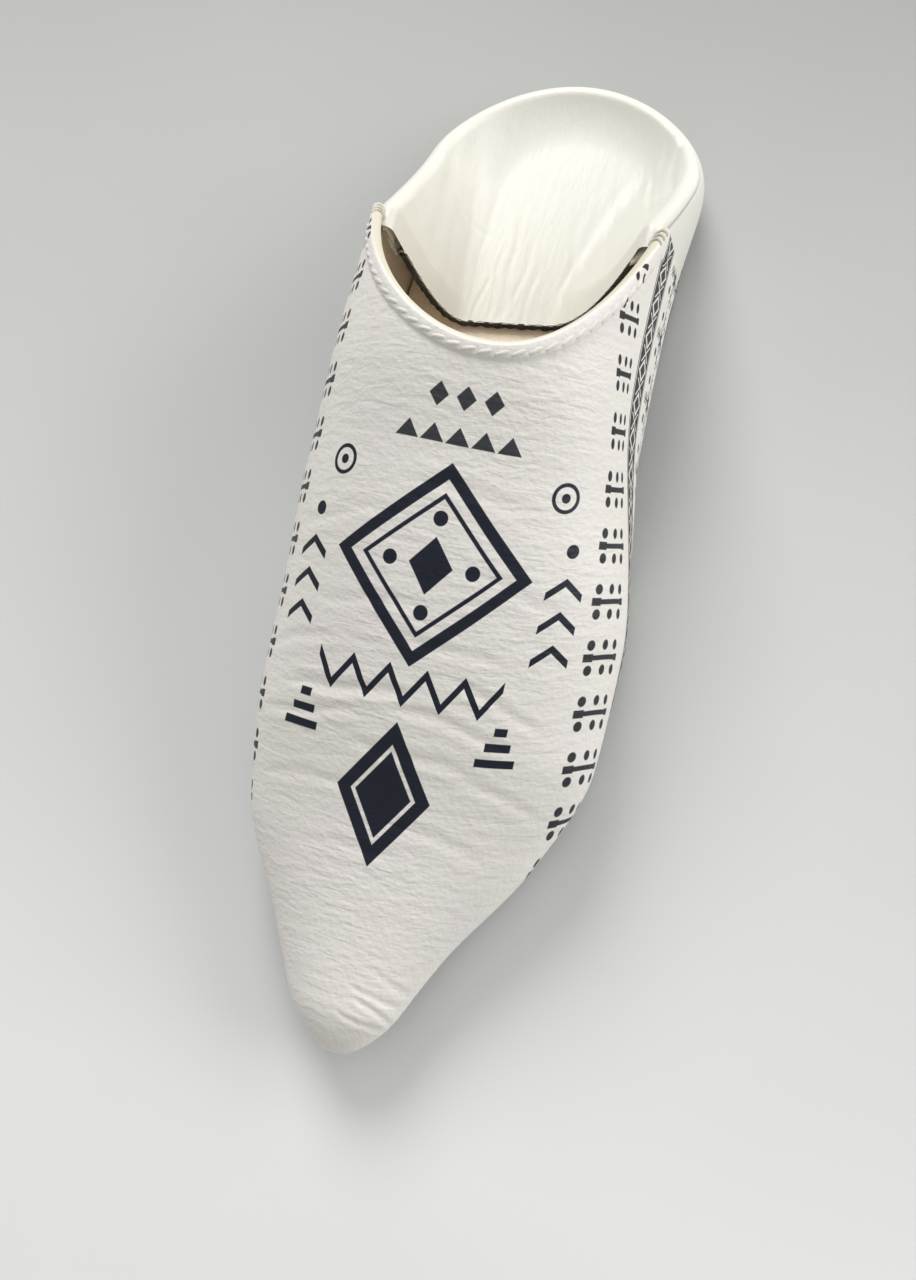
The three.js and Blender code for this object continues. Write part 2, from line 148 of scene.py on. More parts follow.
# Creases of the flap in plan as (x, y) of one end, (x, y) of the other, width and depth
FLAP_CREASES = [
    ((-35.5, 112), (-32.5, 90), 2.2, 0.3),
    ((-33, 92), (-30.5, 68), 1.8, 0.3),
    ((-30.5, 88), (-27.5, 70), 1.6, 0.2),
    ((-36.5, 91), (-34, 74), 1.6, 0.22),
    ((-27, 96), (-24.5, 74), 1.8, 0.14),
    ((-22, 84), (-21, 66), 1.4, 0.1),
    ((-12.5, 92), (-10.5, 66), 1.8, 0.14),
    ((-7, 86), (-8.2, 70), 1.6, 0.1),
    ((-17, 74), (-18.3, 62), 1.2, 0.13),
    ((-15, 80), (-14, 64), 1.2, 0.1),
    ((-4, 78), (-4.5, 64), 1.4, 0.07),
    ((24.3, 124), (23.3, 108), 2.0, 0.24),
    ((27, 121), (28.7, 100), 2.0, 0.28),
    ((22, 112), (24, 96), 1.6, 0.16),
    ((-27, 89.5), (-22.5, 88), 1.6, 0.1),
    ((4, 96), (6, 72), 2.4, 0.08),
    ((13, 104), (15, 84), 2.0, 0.07),
    ((34.5, 116), (32.5, 98), 3.4, 0.5),
]

# How a crease is drawn: the height and place of its lips, and how far it bows over which length
LIP_HEIGHT = 0.45
LIP_PLACE = 1.9
FRONT_BOW = 0.5
FRONT_BOW_LENGTH = 4.2
FRONT_END_SOFTNESS = 0.6
FLAP_BOW = 0.4
FLAP_BOW_LENGTH = 3.1
FLAP_END_SOFTNESS = 0.7

def clamp(value):
    return np.clip(value, 0, 1)

def mix(a, b, part):
    return a + (b - a) * part

# A smooth curve through the rows of a table, with no waves between them
def curve(xs, ys, x):
    xs = np.asarray(xs, float)
    ys = np.asarray(ys, float)
    rise = np.diff(ys) / np.diff(xs)
    slope = np.zeros(len(ys))
    slope[0] = rise[0]
    slope[-1] = rise[-1]
    for i in range(1, len(ys) - 1):
        if rise[i - 1] * rise[i] > 0:
            slope[i] = 2 * rise[i - 1] * rise[i] / (rise[i - 1] + rise[i])
    row = np.clip(np.searchsorted(xs, x) - 1, 0, len(xs) - 2)
    step = xs[row + 1] - xs[row]
    part = (x - xs[row]) / step
    square = part * part
    cube = square * part
    start = ys[row] * (2 * cube - 3 * square + 1) + slope[row] * step * (cube - 2 * square + part)
    return start + ys[row + 1] * (3 * square - 2 * cube) + slope[row + 1] * step * (cube - square)

def toe_rounding(place, length):
    left = 1 - clamp(place * LENGTH / length)
    return np.sqrt(1 - left * left)

def half_width(place, side):
    share = np.where(side < 0, curve(PLACES, LATERAL, place), curve(PLACES, MEDIAL, place))
    return share * BALL_WIDTH * toe_rounding(place, TOE_ROUND) * toe_rounding(1 - place, HEEL_ROUND)

def lift(place):
    y = place * LENGTH
    spring = 1 - clamp(y / SPRING_LENGTH)
    waist_start = SPRING_LENGTH + FOREFOOT_FLAT
    waist = clamp((y - waist_start) / (LENGTH - HEEL_FLAT - waist_start))
    return TOE_SPRING * spring**2 + WAIST_RISE * np.sin(np.pi * waist) ** 2

def seat(place):
    return lift(place) + SOLE_THICKNESS + GAP

def along(place):
    return (place - 0.5) * LENGTH

def by_side(around, table):
    return np.where(around < 0, table[-1], table[1])

# Points of the upper's outside. around is -1 at the lateral foot, 0 at the ridge, 1 at the medial foot.
def last_point(place, around):
    place, around = np.broadcast_arrays(np.asarray(place, float), np.asarray(around, float))
    side = np.where(around < 0, -1, 1)
    run = np.abs(around)
    nose = toe_rounding(place, TOE_ROUND)
    ridge = curve(PLACES, RIDGE, place) * INSTEP_HEIGHT * nose
    bulge = SIDE_BULGE * toe_rounding(place, BULGE_TOE_ROUND)
    side_height = np.minimum(SIDE_HEIGHT * toe_rounding(place, SIDE_TOE_ROUND), SIDE_RIDGE_SHARE * ridge)
    foot = half_width(place, side)
    up = (1 - run) / LOWER_SHARE
    low_x = side * (foot + bulge * np.sin(up * np.pi / 2))
    angle = np.minimum(run / (1 - LOWER_SHARE), 1) * np.pi / 2
    fullness = mix(TOE_FULLNESS, THROAT_FULLNESS, clamp(place / EAR_PLACE[-1]))
    shift = RIDGE_SHIFT * nose
    top_x = shift + (side * (foot + bulge) - shift) * np.sin(angle) ** (2 / fullness)
    top_z = side_height + (ridge - side_height) * clamp(np.cos(angle)) ** (2 / fullness)
    low = run > 1 - LOWER_SHARE
    x = np.where(low, low_x, top_x)
    z = seat(place) + np.where(low, side_height * up, top_z)
    return np.stack([x, along(place), z], -1)

def front_end(around):
    out = clamp(np.abs(around) / by_side(around, EAR_AROUND))
    return mix(THROAT_PLACE, by_side(around, EAR_PLACE), out ** by_side(around, THROAT_POWER))

def band_length(around):
    step = 0.01
    side = np.where(around < 0, -1, 1)
    run = np.minimum(np.abs(around), by_side(around, EAR_AROUND) - step)
    here = last_point(front_end(side * run), side * run)
    beside = last_point(front_end(side * run), side * (run + step))
    forward = (front_end(side * (run + step)) - front_end(side * run)) * LENGTH
    return BAND_WIDTH * np.hypot(1, forward / np.linalg.norm(beside - here, axis=-1))

def unit(vectors):
    return vectors / np.maximum(np.linalg.norm(vectors, axis=-1, keepdims=True), 1e-9)

def surface_frame(place, around):
    step_place = 0.002
    step_around = 0.004
    point = last_point(place, around)
    ahead = last_point(place + step_place, around) - last_point(place - step_place, around)
    beside = last_point(place, around + step_around) - last_point(place, around - step_around)
    return point, unit(np.cross(beside, ahead))

def grid_normals(grid):
    rows = np.gradient(grid, axis=0)
    columns = np.gradient(grid, axis=1)
    return unit(np.cross(columns, rows))

# Distance run along an axis of a grid of points
def run_length(grid, axis):
    steps = np.linalg.norm(np.diff(grid, axis=axis), axis=-1)
    start = np.zeros_like(np.take(steps, [0], axis=axis))
    return np.concatenate([start, np.cumsum(steps, axis=axis)], axis=axis)

# Distance of a point from the ridge, round its own section
ARC_PLACES = 200
ARC_STEPS = 400
arc_places = np.linspace(0, 1, ARC_PLACES + 1)[:, None]
arc_table = run_length(last_point(arc_places, np.linspace(-1, 1, ARC_STEPS + 1)), 1)
arc_table -= arc_table[:, ARC_STEPS // 2 : ARC_STEPS // 2 + 1]

def ridge_arc(place, around):
    row = np.clip(place * ARC_PLACES, 0, ARC_PLACES - 1e-6)
    column = np.clip((around + 1) / 2 * ARC_STEPS, 0, ARC_STEPS - 1e-6)
    i = row.astype(int)
    j = column.astype(int)
    before = mix(arc_table[i, j], arc_table[i, j + 1], column - j)
    after = mix(arc_table[i + 1, j], arc_table[i + 1, j + 1], column - j)
    return mix(before, after, row - i)

# A soft trough with raised lips, across a distance and over a length
def trough(across, past_end, width, depth):
    dip = np.exp(-((across / width) ** 2))
    lips = np.exp(-(((np.abs(across) - LIP_PLACE * width) / width) ** 2))
    return -depth * (dip - LIP_HEIGHT * lips) * np.exp(-((past_end / (2 * width)) ** 2))

def front_relief(run, across):
    relief = np.zeros_like(run)
    for x, y, length, width, depth, turn in FRONT_CREASES:
        angle = math.radians(turn)
        u = (across - y) * math.cos(angle) + (run - x) * math.sin(angle)
        bow = FRONT_BOW * np.sin(u / FRONT_BOW_LENGTH + x)
        v = (run - x) * math.cos(angle) - (across - y) * math.sin(angle) + bow
        past = np.maximum(np.abs(u) - length / 3, 0)
        relief += trough(v, past * FRONT_END_SOFTNESS, width / 2, depth)
    return relief

def flap_relief(x, y):
    relief = np.zeros_like(x)
    for start, finish, width, depth in FLAP_CREASES:
        a = np.array(start, float)
        b = np.array(finish, float)
        length = np.linalg.norm(b - a)
        way = (b - a) / length
        u = (x - a[0]) * way[0] + (y - a[1]) * way[1]
        bow = FLAP_BOW * np.sin(u / FLAP_BOW_LENGTH + a[0])
        v = (x - a[0]) * way[1] - (y - a[1]) * way[0] + bow
        past = np.maximum(np.maximum(-u, u - length), 0)
        relief += trough(v, past * FLAP_END_SOFTNESS, width / 2, depth)
    return relief

# Meshes. The shift from the last's own place to the frame's is set when the sole is made.

shift = np.zeros(3)

def make_mesh(name, points, faces, material, attributes=()):
    mesh = bpy.data.meshes.new(name)
    points = (np.asarray(points, float).reshape(-1, 3) + shift) * MM
    faces = np.asarray(faces, np.int32)
    corners = faces.shape[1]
    mesh.vertices.add(len(points))
    mesh.vertices.foreach_set("co", points.astype(np.float32).ravel())
    mesh.loops.add(faces.size)
    mesh.loops.foreach_set("vertex_index", faces.ravel())
    mesh.polygons.add(len(faces))
    mesh.polygons.foreach_set("loop_start", np.arange(0, faces.size, corners, dtype=np.int32))
    mesh.update(calc_edges=True)
    for key, values in attributes:
        layer = mesh.attributes.new(key, "FLOAT_VECTOR", "POINT")
        layer.data.foreach_set("vector", np.asarray(values, np.float32).ravel())
    mesh.polygons.foreach_set("use_smooth", np.ones(len(faces), bool))
    mesh.materials.append(material)
    piece = bpy.data.objects.new(name, mesh)
    bpy.context.scene.collection.objects.link(piece)
    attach(piece, "root")
    return piece

def grid_faces(rows, columns, start=0, closed=False, flip=False):
    last_column = columns if closed else columns - 1
    i, j = np.meshgrid(np.arange(rows - 1), np.arange(last_column), indexing="ij")
    next_j = (j + 1) % columns
    here = i * columns
    beyond = here + columns
    faces = np.stack([here + j, here + next_j, beyond + next_j, beyond + j], -1)
    faces = faces.reshape(-1, 4) + start
    return faces[:, ::-1] if flip else faces

# Points of a tube with round ends along a path
def tube_points(path, radius, normal, flatness, sides):
    count = len(path)
    ways = unit(np.gradient(path, axis=0))
    across = unit(np.cross(ways, normal))
    upward = np.cross(across, ways)
    part = np.linspace(-1, 1, count)
    swell = np.sqrt(np.maximum(1 - np.abs(part) ** 4, 0.02))
    angles = np.arange(sides) * 2 * np.pi / sides
    ring = np.cos(angles)[None, :, None] * across[:, None, :]
    ring = ring + flatness * np.sin(angles)[None, :, None] * upward[:, None, :]
    return path[:, None, :] + radius * swell[:, None, None] * ring

# Many tubes in one piece, each given as (path, radius, normal, flatness)
def tubes(name, items, material, sides=8):
    points = []
    faces = []
    start = 0
    for path, radius, normal, flatness in items:
        rings = tube_points(path, radius, normal, flatness, sides)
        points.append(rings.reshape(-1, 3))
        faces.append(grid_faces(len(path), sides, start, closed=True))
        start += rings.shape[0] * sides
    return make_mesh(name, np.concatenate(points), np.concatenate(faces), material)

# Shader arithmetic

class Value:
    def __init__(self, tree, socket):
        self.tree = tree
        self.socket = socket

    def calc(self, operation, *others, limit=False):
        node = self.tree.nodes.new("ShaderNodeMath")
        node.operation = operation
        node.use_clamp = limit
        for i, item in enumerate((self, *others)):
            feed(self.tree, item, node.inputs[i])
        return Value(self.tree, node.outputs[0])

    def __add__(self, other):
        return self.calc("ADD", other)

    def __sub__(self, other):
        return self.calc("SUBTRACT", other)

    def __mul__(self, other):
        return self.calc("MULTIPLY", other)

    def __truediv__(self, other):
        return self.calc("DIVIDE", other)

    def size(self):
        return self.calc("ABSOLUTE")

    def most(self, other):
        return self.calc("MAXIMUM", other)

    def least(self, other):
        return self.calc("MINIMUM", other)

    def sine(self):
        return self.calc("SINE")

    # Distance from the middle of the nearest repeat, with its sign
    def repeat(self, pitch, middle):
        return (self - (middle - pitch / 2)).calc("FLOORED_MODULO", pitch) - pitch / 2

# Gives a socket another node's value or a plain one
def feed(tree, item, socket):
    if isinstance(item, Value):
        tree.links.new(item.socket, socket)
    else:
        socket.default_value = item

EDGE = 0.09

# 1 where a distance is below 0, with a soft edge
def inside(distance, edge=EDGE):
    return (distance * (-0.5 / edge) + 0.5).calc("ADD", 0.0, limit=True)

def ellipse(u, v, ru, rv):
    radius = ((u / ru) * (u / ru) + (v / rv) * (v / rv)).calc("SQRT")
    return inside((radius - 1) * min(ru, rv))

def block(u, v, ru, rv):
    return inside((u.size() - ru).most(v.size() - rv))

def lozenge(u, v, ru, rv):
    return (u.size() / ru + v.size() / rv - 1) * (ru * rv / math.hypot(ru, rv))

def ring(distance, middle, half):
    return inside((distance - middle).size() - half)

def principled(name, roughness, **settings):
    material = bpy.data.materials.new(name)
    material.use_nodes = True
    tree = material.node_tree
    shader = tree.nodes["Principled BSDF"]
    shader.inputs["Roughness"].default_value = roughness
    for key, value in settings.items():
        shader.inputs[key.replace("_", " ")].default_value = value
    return material, tree, shader

def attribute(tree, name):
    node = tree.nodes.new("ShaderNodeAttribute")
    node.attribute_name = name
    split = tree.nodes.new("ShaderNodeSeparateXYZ")
    tree.links.new(node.outputs["Vector"], split.inputs[0])
    return [Value(tree, output) for output in split.outputs]

def vector(tree, x, y, z):
    node = tree.nodes.new("ShaderNodeCombineXYZ")
    for i, item in enumerate((x, y, z)):
        feed(tree, item, node.inputs[i])
    return node.outputs[0]

def noise(tree, place, scale, detail=2.0, roughness=0.5, distortion=0.0):
    node = tree.nodes.new("ShaderNodeTexNoise")
    tree.links.new(place, node.inputs["Vector"])
    node.inputs["Scale"].default_value = scale
    node.inputs["Detail"].default_value = detail
    node.inputs["Roughness"].default_value = roughness
    node.inputs["Distortion"].default_value = distortion
    return Value(tree, node.outputs["Fac"])

def cells(tree, place, scale, smooth=0.4):
    node = tree.nodes.new("ShaderNodeTexVoronoi")
    node.feature = "SMOOTH_F1"
    tree.links.new(place, node.inputs["Vector"])
    node.inputs["Scale"].default_value = scale
    node.inputs["Smoothness"].default_value = smooth
    return Value(tree, node.outputs["Distance"])

def object_place(tree):
    node = tree.nodes.new("ShaderNodeTexCoord")
    scale = tree.nodes.new("ShaderNodeVectorMath")
    scale.operation = "SCALE"
    scale.inputs["Scale"].default_value = 1 / MM
    tree.links.new(node.outputs["Object"], scale.inputs[0])
    return scale.outputs[0]

def blend(tree, part, first, second):
    node = tree.nodes.new("ShaderNodeMix")
    node.data_type = "RGBA"
    feed(tree, part, node.inputs[0])
    for i, item in ((6, first), (7, second)):
        if isinstance(item, tuple):
            node.inputs[i].default_value = (*item, 1)
        else:
            tree.links.new(item, node.inputs[i])
    return node.outputs[2]

def spread(value, low, high):
    return ((value - low) * (1 / (high - low))).calc("ADD", 0.0, limit=True)

def bump(tree, shader, height, depth):
    node = tree.nodes.new("ShaderNodeBump")
    node.inputs["Strength"].default_value = 1.0
    node.inputs["Distance"].default_value = depth * MM
    tree.links.new(height.socket, node.inputs["Height"])
    tree.links.new(node.outputs[0], shader.inputs["Normal"])

# Printed ornament of the side: bars with dots, a chain of lozenges, stars, and a wavy band.
# run is along the shoe. down is from the middle of the row of bars, or from the top of the chain,
# towards the sole.

BAR_PITCH = 12.7
BAR_HALF = 4.6
BAR_STEM = 0.6
BAR_INNER_END = (0.92, 1.1)
BAR_OUTER_END = (0.78, 0.6)
BAR_DOTS = ((-3.2, 0.9), (0.3, 0.75), (3.3, 0.7))
BAR_DOT_SIDE = 2.85
BAR_DOT_LENGTH = 1.2
CHAIN_WIDTH = 8.0
CHAIN_PITCH = 8.0
CHAIN_LOZENGE = (3.1, 2.9)
CHAIN_BORDER = 3.45
STAR_MIDDLE = 18.0
STAR_PITCH = 16.5
STAR_DOT_SIDE = 4.7
STAR_DOT = 1.15
WAVE_TOP = 29.5
WAVE_BOTTOM = 44.0
TREE_PITCH = 33.0
TREE_START = 10.0
TREE_STEM = (8.5, 0.42)
LEAF_PITCH = 5.0
LEAVES_HALF = 7.4

def bars_print(run, down):
    u = run.repeat(BAR_PITCH, 0.0)
    bar = block(u, down, BAR_STEM, BAR_HALF)
    bar = bar.most(block(u, down + BAR_HALF - BAR_INNER_END[1], *BAR_INNER_END))
    bar = bar.most(block(u, down - BAR_HALF + BAR_OUTER_END[1], *BAR_OUTER_END))
    for middle, width in BAR_DOTS:
        bar = bar.most(ellipse(u.size() - BAR_DOT_SIDE, down - middle, BAR_DOT_LENGTH, width))
    return bar

def chain_print(run, down):
    v = down - CHAIN_WIDTH / 2
    band = inside(v.size() - CHAIN_WIDTH / 2)
    shape = lozenge(run.repeat(CHAIN_PITCH, 0.0), v, *CHAIN_LOZENGE)
    white = ring(shape, -0.45, 0.32)
    link = run.repeat(CHAIN_PITCH, CHAIN_PITCH / 2)
    crossing = (link.size() - v.size() * 0.9).size() - 0.28
    white = white.most(inside(crossing.most(link.size() - 2.0)))
    white = white.most(ring(v.size(), CHAIN_BORDER, 0.16))
    return band * (white * -1 + 1)

def star_print(run, down):
    u = run.repeat(STAR_PITCH, 0.0).size()
    v = (down - STAR_MIDDLE).size()
    high = u.most(v)
    low = u.least(v)
    core = inside((high + low - 2.3).least(((high - low) - 0.55).most(high - 2.6)))
    wave = (high - low * 0.8).repeat(1.7, 4.0).size() - 0.42
    arms = inside(wave.most(low - 1.35).most((high - 5.4).size() - 2.3))
    stem = inside((low - 0.28).most((high - 3.6).size() - 2.0))
    dot = ellipse(u - STAR_DOT_SIDE, v - STAR_DOT_SIDE, STAR_DOT, STAR_DOT)
    return core.most(arms).most(stem).most(dot)

def wave_print(run, down):
    swing = (run * 0.16).sine() * 1.1 + (run * 0.37).sine() * 0.4
    top = down - WAVE_TOP + swing
    bottom = (run * 0.12 + 1.0).sine() * 1.3 - down + WAVE_BOTTOM
    band = inside((top * -1).most(bottom * -1))
    v = down - (WAVE_TOP + WAVE_BOTTOM) / 2
    tree = run.repeat(TREE_PITCH, TREE_START)
    white = block(tree, v, *TREE_STEM)
    leaf = tree.repeat(LEAF_PITCH, 0.0).size() * 2.2 + v.size() - 4.3
    white = white.most(inside(leaf.most(v.size() * -1 + 1.2).most(tree.size() - LEAVES_HALF)))
    star = run.repeat(TREE_PITCH, TREE_START + TREE_PITCH / 2).size()
    size = v.size()
    high = star.most(size)
    low = star.least(size)
    arms = (high - low - 0.5).size() - 0.45
    white = white.most(inside(arms.most(high - 3.6)))
    white = white.most(inside((low - 0.4).most((high - 4.4).size() - 0.7)))
    return band * (white * -1 + 1)

# Generic geometric print of the top. A RUN is a place from the toe, a SIDE a distance from the ridge.

TOE_RUN = 62
TOE_LOZENGE = (11.5, 17)
STEPS_SIDE = 24
STEPS = ((73, 4.6), (76.6, 3.0), (80.2, 1.5))
STEP_LINE = 0.95
ZIGZAG_RUN = 87
ZIGZAG_PITCH = 9.0
ZIGZAG_HALF = 22.5
FRAME_RUN = 114
FRAME_LOZENGE = (23.5, 22.5)
FRAME_LINES = ((-1.3, 1.3), (-5.2, 0.5))
HEART_LOZENGE = (5.2, 6.4)
FRAME_DOT = 1.7
FRAME_DOT_SIDE = 9.8
FRAME_DOT_RUN = 10.4
FLANK_SIDE = 31.5
CHEVRON_RUN = 107
CHEVRON_PITCH = 7.5
CHEVRON_LINE = 0.95
CHEVRON_HALF = 4.6
CHEVRON_REACH = 10
FLANK_DOT_RUN = 121.5
FLANK_DOT = 1.6
HOOP_RUN = 133
HOOP_SIDE = 27
TEETH_BASE = 140.2
TEETH_TIP = 144
TEETH_PITCH = 6.0
TEETH_HALF = 15
CLUSTER_RUN = 150
CLUSTER_PITCH = 6.4
CLUSTER_LOZENGE = (2.3, 2.6)
CLUSTER_HALF = 9.5

def frame_print(run, across):
    from_middle = run - FRAME_RUN
    frame_lozenge = lozenge(across, from_middle, *FRAME_LOZENGE)
    dark = inside(lozenge(across, from_middle, *HEART_LOZENGE))
    for middle, half in FRAME_LINES:
        dark = dark.most(ring(frame_lozenge, middle, half))
    beside = ellipse(across.size() - FRAME_DOT_SIDE, from_middle, FRAME_DOT, FRAME_DOT)
    above = ellipse(across, from_middle.size() - FRAME_DOT_RUN, FRAME_DOT, FRAME_DOT)
    return dark.most(beside).most(above)

def flank_print(run, across):
    flank = across.size() - FLANK_SIDE
    arrow = run - CHEVRON_RUN + flank.size() * 0.75
    chevron = arrow.repeat(CHEVRON_PITCH, 0.0).size() - CHEVRON_LINE
    dark = inside(chevron.most(flank.size() - CHEVRON_HALF).most(arrow.size() - CHEVRON_REACH))
    dark = dark.most(ellipse(flank, run - FLANK_DOT_RUN, FLANK_DOT, FLANK_DOT))
    for level, half in STEPS:
        dark = dark.most(block(across.size() - STEPS_SIDE, run - level, half, STEP_LINE))
    aside = across.size() - HOOP_SIDE
    ahead = run - HOOP_RUN
    hoop = (aside * aside + ahead * ahead).calc("SQRT")
    return dark.most(ring(hoop, 3.0, 0.45)).most(inside(hoop - 1.1))

def middle_print(run, across):
    toe = lozenge(across, run - TOE_RUN, *TOE_LOZENGE)
    dark = inside(toe) * (ring(toe, -3.4, 0.45) * -1 + 1)
    zigzag = (across.repeat(ZIGZAG_PITCH, 0.0).size() - ZIGZAG_PITCH / 4) * 1.5
    line = inside(((run - ZIGZAG_RUN) - zigzag).size() - 1.25)
    return dark.most(line * inside(across.size() - ZIGZAG_HALF))

# The row of teeth and the lozenges under the throat, in a paler ink
def throat_print(run, across):
    teeth = across.repeat(TEETH_PITCH, 0.0).size() * 1.35 + (run - TEETH_TIP)
    row = inside(teeth.most((run - TEETH_BASE) * -1).most(across.size() - TEETH_HALF))
    cluster = lozenge(across.repeat(CLUSTER_PITCH, 0.0), run - CLUSTER_RUN, *CLUSTER_LOZENGE)
    return row.most(inside(cluster) * inside(across.size() - CLUSTER_HALF))

# Materials

WHITE_TONES = ((0.815, 0.785, 0.73), (0.81, 0.765, 0.74))
RAW_EDGE = (0.66, 0.62, 0.50)
PALE_INK = (0.04, 0.042, 0.048)
SIDE_INK = (0.022, 0.024, 0.028)
TOP_INK = (0.009, 0.012, 0.024)
BACK_TONES = ((0.765, 0.755, 0.68), (0.755, 0.735, 0.68))

def white_leather(name):
    material, tree, shader = principled(name, 0.48, Specular_IOR_Level=0.32)
    run, across, band = attribute(tree, "chart")
    print_run, bars_down, bands_down = attribute(tree, "print")
    flat = vector(tree, run, across, 0.0)
    stretched = vector(tree, run, across * 0.27, 3.0)
    sides = bars_print(print_run, bars_down).most(chain_print(print_run, bands_down))
    sides = sides.most(star_print(print_run, bands_down)).most(wave_print(print_run, bands_down))
    sides = sides * spread(run, 20.0, 21.0) * (spread(band, 1.1, 1.3) * -1 + 1)
    top = middle_print(run, across).most(frame_print(run, across)).most(flank_print(run, across))
    tone = noise(tree, flat, 0.03, 2.0)
    base = blend(tree, spread(tone, 0.35, 0.7), *WHITE_TONES)
    base = blend(tree, spread(band, 1.2, 2.0), base, RAW_EDGE)
    base = blend(tree, throat_print(run, across), base, PALE_INK)
    base = blend(tree, sides, base, SIDE_INK)
    base = blend(tree, top, base, TOP_INK)
    tree.links.new(base, shader.inputs["Base Color"])
    wrinkles = noise(tree, stretched, 0.52, 3.0, 0.5, 0.35)
    pebbles = cells(tree, flat, 0.85, 0.5)
    grain = noise(tree, flat, 2.6, 2.0)
    strength = noise(tree, flat, 0.035, 1.0)
    soft = (spread(strength, 0.3, 0.7) * 0.7 + 0.8) * (spread(band, 0.0, 1.0) * -0.6 + 1)
    height = wrinkles * soft + pebbles * 0.3 + grain * 0.12
    bump(tree, shader, height, 0.34)
    return material

def back_leather(name):
    shine = {"Specular_IOR_Level": 0.45, "Coat_Weight": 0.08, "Coat_Roughness": 0.35}
    material, tree, shader = principled(name, 0.4, **shine)
    place = object_place(tree)
    stretch = tree.nodes.new("ShaderNodeMapping")
    stretch.inputs["Scale"].default_value = (1.0, 0.22, 0.6)
    tree.links.new(place, stretch.inputs["Vector"])
    tone = noise(tree, place, 0.03, 2.0)
    base = blend(tree, spread(tone, 0.35, 0.7), *BACK_TONES)
    tree.links.new(base, shader.inputs["Base Color"])
    lines = noise(tree, stretch.outputs[0], 0.5, 4.0, 0.6, 0.4)
    grain = noise(tree, place, 2.2, 2.0)
    bump(tree, shader, lines * 0.8 + grain * 0.12, 0.25)
    return material

def plain_leather(name, first, second, roughness, grain_scale, depth, shine=0.3):
    material, tree, shader = principled(name, roughness, Specular_IOR_Level=shine)
    place = object_place(tree)
    tone = noise(tree, place, 0.09, 4.0, 0.6)
    speck = noise(tree, place, grain_scale, 3.0, 0.6)
    base = blend(tree, spread(tone * 0.7 + speck * 0.3, 0.35, 0.65), first, second)
    tree.links.new(base, shader.inputs["Base Color"])
    bump(tree, shader, speck, depth)
    return material

vamp_material = white_leather("printed_white_leather")
back_material = back_leather("smooth_white_leather")
lining_material = plain_leather("tan_lining", (0.95, 0.86, 0.74), (0.97, 0.90, 0.80), 0.62, 1.6, 0.12)
footbed_material = plain_leather("tan_footbed", (0.88, 0.75, 0.59), (0.93, 0.81, 0.66), 0.62, 1.6, 0.12)
sole_material = plain_leather("sole_leather", (0.010, 0.014, 0.024), (0.022, 0.030, 0.046), 0.5, 1.1, 0.18)
edge_material = plain_leather(
    "flap_edge_leather", (0.026, 0.025, 0.021), (0.07, 0.067, 0.056), 0.95, 1.8, 0.12, 0.1
)
thread_material = plain_leather("white_thread", (0.70, 0.68, 0.62), (0.82, 0.80, 0.75), 0.55, 3.0, 0.12)
black_thread = plain_leather("black_thread", (0.012, 0.012, 0.014), (0.045, 0.045, 0.048), 0.6, 3.0, 0.1)
tack_material = plain_leather("tack_thread", (0.42, 0.40, 0.33), (0.72, 0.70, 0.61), 0.7, 1.4, 0.15)
knot_material = plain_leather("knot_thread", (0.03, 0.03, 0.028), (0.80, 0.78, 0.70), 0.7, 1.5, 0.15)
# painted shade: this dark colour stands in for the inside of each needle hole, since no hole is cut
hole_shade_material = plain_leather("painted_needle_hole_shade", (0.016, 0.015, 0.014), (0.05, 0.045, 0.04), 0.8, 2.0, 0.05)

# The sole, which also lines the pieces up with the frame. A profile's rows are (inset, height share).

SOLE_STEPS = 180
FLAT_COLUMNS = 25
SOLE_PROFILE = [
    (6.0, 1.0), (1.6, 1.0), (0.7, 0.985), (0.28, 0.93), (0.06, 0.82), (0.0, 0.68), (0.05, 0.45),
    (0.3, 0.25), (0.75, 0.11), (1.3, 0.03), (2.0, 0.0), (6.0, 0.0),
]
BED_PROFILE = [(1.5, 1.0), (0.3, 0.98), (0.0, 0.85), (0.0, 0.0)]
BED_SETBACK = 2.5
BED_GAP_FRONT = 0.15
BED_GAP_BACK = 1.2
BED_NARROWS = EAR_PLACE[-1] - 0.02

def outline():
    index = np.arange(2 * SOLE_STEPS)
    place = (1 - np.cos(np.pi * index / SOLE_STEPS)) / 2
    side = np.where(index < SOLE_STEPS, -1, 1)
    points = np.stack([side * half_width(place, side), along(place)], -1)
    ahead = np.roll(points, -1, 0)
    behind = np.roll(points, 1, 0)
    outward = unit(np.stack([behind[:, 1] - ahead[:, 1], ahead[:, 0] - behind[:, 0]], -1))
    return place, points, outward

foot_place, foot_line, foot_outward = outline()

# Points across the flat from the lateral to the medial side of a ring
def across_ring(ring_points):
    index = np.arange(SOLE_STEPS + 1)
    lateral = ring_points[index]
    medial = ring_points[(2 * SOLE_STEPS - index) % (2 * SOLE_STEPS)]
    part = np.linspace(0, 1, FLAT_COLUMNS)[None, :, None]
    return mix(lateral[:, None, :], medial[:, None, :], part)

